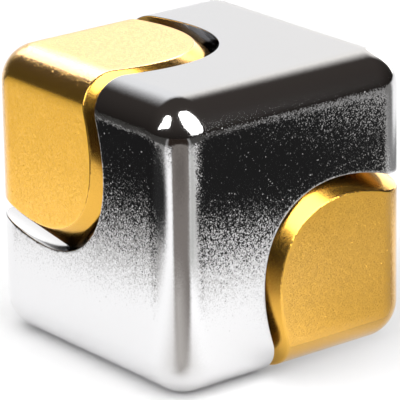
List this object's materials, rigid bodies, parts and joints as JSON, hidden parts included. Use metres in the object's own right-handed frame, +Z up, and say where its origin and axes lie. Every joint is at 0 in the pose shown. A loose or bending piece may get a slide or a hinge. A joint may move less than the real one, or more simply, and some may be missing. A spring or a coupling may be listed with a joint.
{
  "type": "cube spinner",
  "caption": "Metal fidget cube with rounded edges: a chromed shell that spins on a ball bearing about its body diagonal, between two gold corner caps held by finger and thumb.",
  "frame": {"origin": "middle of the cube's bottom face, on the surface that it stands on, with the rotor at rest so that all its faces are flush", "axes": "+Z up; the shell's faces lie square to X, Y and Z; the spin axis is the body diagonal through the centre, from the lower cap's corner at +X -Y to the upper cap's corner at -X +Y"},
  "size_m": [0.025, 0.025, 0.025],
  "materials": {
    "shell_chrome": "chrome plating, finely grained on the outer faces, polished on the rounded edges and in the bore",
    "cap_gold": "gold plating, satin with a fine grain on the outer faces, polished on the round side wall",
    "bearing_steel": "ground and polished bearing steel",
    "shield_steel": "pressed sheet steel, satin",
    "spring_steel": "drawn spring wire",
    "cage_nylon": "moulded natural nylon",
    "plain_steel": "turned steel, zinc plated"
  },
  "bodies": {
    "shell": {"spinner_body": "shell_chrome", "bearing_outer_ring": "bearing_steel", "upper_shield": "shield_steel", "lower_shield": "shield_steel", "upper_snap_ring": "spring_steel", "lower_snap_ring": "spring_steel"},
    "rotor": {"upper_cap": "cap_gold", "lower_cap": "cap_gold", "bearing_inner_ring": "bearing_steel", "axle_bush": "plain_steel", "cap_stud": "plain_steel", "upper_spacer": "plain_steel", "lower_spacer": "plain_steel"},
    "cage": {"bearing_cage": "cage_nylon", "bearing_ball_1": "bearing_steel", "bearing_ball_2": "bearing_steel", "bearing_ball_3": "bearing_steel", "bearing_ball_4": "bearing_steel", "bearing_ball_5": "bearing_steel", "bearing_ball_6": "bearing_steel", "bearing_ball_7": "bearing_steel"}
  },
  "joints": [
    {"name": "rotor_spin", "type": "hinge", "parent": "shell", "child": "rotor", "pos_m": [0, 0, 0.0125], "axis": [-0.5774, 0.5774, 0.5774], "continuous": true},
    {"name": "cage_turn", "type": "hinge", "parent": "shell", "child": "cage", "pos_m": [0, 0, 0.0125], "axis": [-0.5774, 0.5774, 0.5774], "continuous": true}
  ],
  "couplings": [
    {"joint": "cage_turn", "follows": "rotor_spin", "ratio": 0.368}
  ]
}
